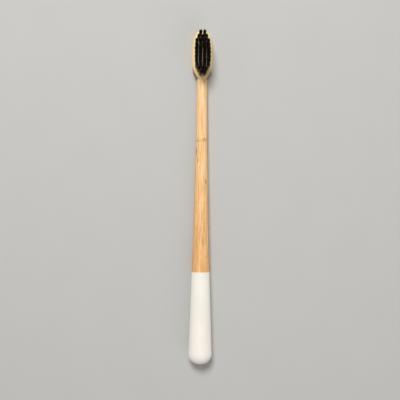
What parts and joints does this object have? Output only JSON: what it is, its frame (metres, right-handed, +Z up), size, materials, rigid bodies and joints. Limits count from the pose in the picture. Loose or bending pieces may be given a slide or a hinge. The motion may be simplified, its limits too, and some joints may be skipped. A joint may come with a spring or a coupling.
{
  "type": "manual toothbrush",
  "caption": "Manual toothbrush with a slim round bamboo handle, a white dipped end, a bulb-shaped head planed flat on face and back, and black bristle tufts.",
  "frame": {"origin": "on the surface that the brush lies on, under the middle of its length and width", "axes": "+Z up, out of the bristle face; +Y along the handle towards the head; +X across the head"},
  "size_m": [0.0134, 0.19, 0.017],
  "materials": {
    "bamboo": "fine satin, waxed",
    "white_coat": "satin dipped paint",
    "anchor_metal": "plain sheared",
    "bristle": "fine black nylon filament"
  },
  "bodies": {
    "root": {"bamboo_handle": "bamboo", "dip_coat": "white_coat", "staple_anchors": "anchor_metal", "tuft_row01_1": "bristle", "tuft_row01_2": "bristle", "tuft_row02_1": "bristle", "tuft_row02_2": "bristle", "tuft_row02_3": "bristle", "tuft_row03_1": "bristle", "tuft_row03_2": "bristle", "tuft_row03_3": "bristle", "tuft_row03_4": "bristle", "tuft_row04_1": "bristle", "tuft_row04_2": "bristle", "tuft_row04_3": "bristle", "tuft_row04_4": "bristle", "tuft_row05_1": "bristle", "tuft_row05_2": "bristle", "tuft_row05_3": "bristle", "tuft_row05_4": "bristle", "tuft_row06_1": "bristle", "tuft_row06_2": "bristle", "tuft_row06_3": "bristle", "tuft_row06_4": "bristle", "tuft_row07_1": "bristle", "tuft_row07_2": "bristle", "tuft_row07_3": "bristle", "tuft_row07_4": "bristle", "tuft_row08_1": "bristle", "tuft_row08_2": "bristle", "tuft_row08_3": "bristle", "tuft_row08_4": "bristle", "tuft_row09_1": "bristle", "tuft_row09_2": "bristle", "tuft_row09_3": "bristle", "tuft_row09_4": "bristle", "tuft_row10_1": "bristle", "tuft_row10_2": "bristle", "tuft_row10_3": "bristle", "tuft_row11_1": "bristle", "tuft_row11_2": "bristle"}
  },
  "joints": []
}
